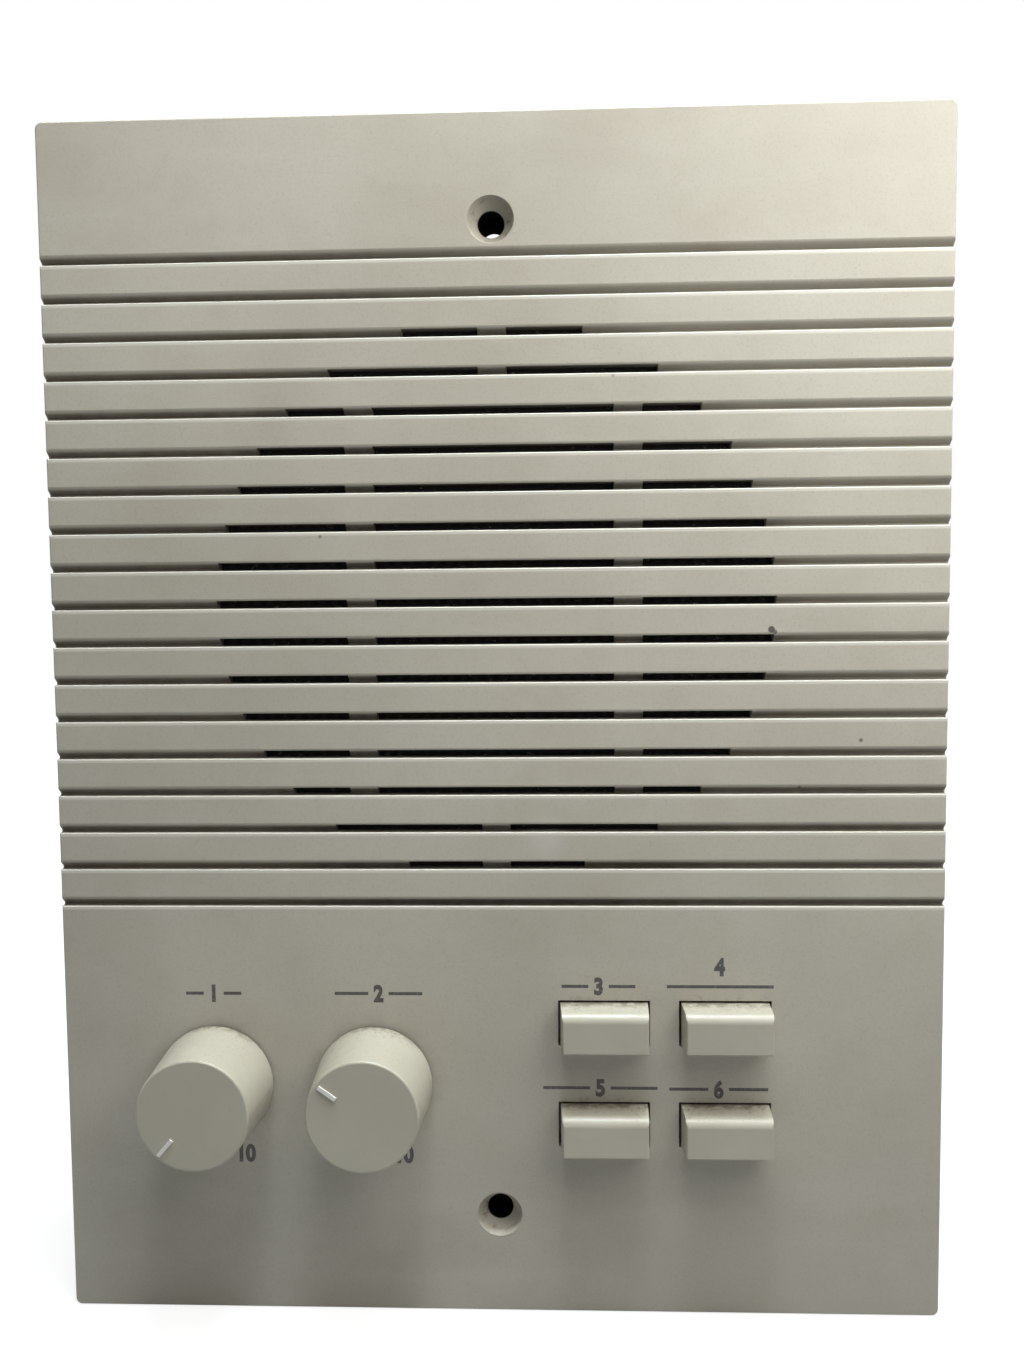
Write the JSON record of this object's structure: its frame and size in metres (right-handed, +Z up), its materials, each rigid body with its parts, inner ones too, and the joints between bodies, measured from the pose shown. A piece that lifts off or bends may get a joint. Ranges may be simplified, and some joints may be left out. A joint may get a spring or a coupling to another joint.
{
  "type": "wall intercom speaker station",
  "caption": "Flush wall intercom station with a ribbed speaker faceplate, two volume knobs, push buttons and a cone speaker and circuit board behind.",
  "frame": {"origin": "midpoint between the two wall screws, on the plane of the rear edge that meets the wall", "axes": "+X to the right and +Z up as seen from the front; the front faces -Y, and +Y points into the wall"},
  "size_m": [0.181, 0.0716, 0.244],
  "materials": {
    "plate_plastic": "satin moulded, lightly grained",
    "grille_cloth": "woven black grille cloth",
    "frame_steel": "zinc plated pressed sheet",
    "gasket_foam": "dense black foam",
    "cone_paper": "black felted paper",
    "coil_copper": "enamelled copper winding",
    "spider_cloth": "resin stiffened cloth",
    "plated_steel": "zinc plated, turned or pressed",
    "ferrite": "ground dark ferrite",
    "board_phenolic": "brown phenolic laminate",
    "lug_brass": "tinned brass",
    "braid_copper": "braided copper",
    "lead_insulation": "vinyl insulation",
    "pot_case": "plated case with a turned bushing",
    "control_plastic": "satin moulded",
    "switch_black": "moulded phenolic",
    "rod_plastic": "natural nylon",
    "spring_steel": "bright drawn wire",
    "resistor_body": "lacquered body with colour rings",
    "capacitor_sleeve": "shrunk vinyl sleeve"
  },
  "bodies": {
    "unit": {"faceplate": "plate_plastic", "grille_cloth": "grille_cloth", "speaker_basket": "frame_steel", "speaker_gasket": "gasket_foam", "cone_surround": "cone_paper", "spider": "spider_cloth", "top_plate": "plated_steel", "magnet": "ferrite", "yoke": "plated_steel", "terminal_strip": "board_phenolic", "solder_lugs": "lug_brass", "tinsel_leads": "braid_copper", "speaker_leads": "lead_insulation", "speaker_screws": "plated_steel", "circuit_board": "board_phenolic", "board_screws": "plated_steel", "music_pot": "pot_case", "intercom_pot": "pot_case", "pot_washers": "plated_steel", "pot_nuts": "plated_steel", "privacy_switch": "switch_black", "door_switch": "switch_black", "listen_switch": "switch_black", "talk_switch": "switch_black", "privacy_spring": "spring_steel", "door_spring": "spring_steel", "listen_spring": "spring_steel", "talk_spring": "spring_steel", "terminal_block": "switch_black", "terminal_screws": "plated_steel", "resistors": "resistor_body", "capacitors": "capacitor_sleeve"},
    "cone": {"speaker_cone": "cone_paper", "dust_cap": "cone_paper", "voice_coil": "coil_copper"},
    "music_volume": {"music_knob": "control_plastic", "music_shaft": "plated_steel"},
    "intercom_volume": {"intercom_knob": "control_plastic", "intercom_shaft": "plated_steel"},
    "privacy_button": {"privacy_cap": "control_plastic", "privacy_plunger": "rod_plastic"},
    "door_button": {"door_cap": "control_plastic", "door_plunger": "rod_plastic"},
    "listen_button": {"listen_cap": "control_plastic", "listen_plunger": "rod_plastic"},
    "talk_button": {"talk_cap": "control_plastic", "talk_plunger": "rod_plastic"}
  },
  "joints": [
    {"name": "music_volume_turn", "type": "hinge", "parent": "unit", "child": "music_volume", "pos_m": [-0.059, 0, -0.0733], "axis": [0, 1, 0], "range_deg": [0, 278]},
    {"name": "intercom_volume_turn", "type": "hinge", "parent": "unit", "child": "intercom_volume", "pos_m": [-0.0258, 0, -0.0733], "axis": [0, 1, 0], "range_deg": [-85, 193]},
    {"name": "privacy_press", "type": "slide", "parent": "unit", "child": "privacy_button", "axis": [0, 1, 0], "range_m": [0, 0.003], "stiffness_N_per_m": 300, "springref_m": -0.001, "deforming": ["privacy_spring"]},
    {"name": "door_press", "type": "slide", "parent": "unit", "child": "door_button", "axis": [0, 1, 0], "range_m": [0, 0.003], "stiffness_N_per_m": 300, "springref_m": -0.001, "deforming": ["door_spring"]},
    {"name": "listen_press", "type": "slide", "parent": "unit", "child": "listen_button", "axis": [0, 1, 0], "range_m": [0, 0.003], "stiffness_N_per_m": 300, "springref_m": -0.001, "deforming": ["listen_spring"]},
    {"name": "talk_press", "type": "slide", "parent": "unit", "child": "talk_button", "axis": [0, 1, 0], "range_m": [0, 0.003], "stiffness_N_per_m": 300, "springref_m": -0.001, "deforming": ["talk_spring"]},
    {"name": "cone_throw", "type": "slide", "parent": "unit", "child": "cone", "axis": [0, 1, 0], "range_m": [-0.0015, 0.0015], "stiffness_N_per_m": 1000, "deforming": ["cone_surround", "spider", "tinsel_leads"]}
  ]
}
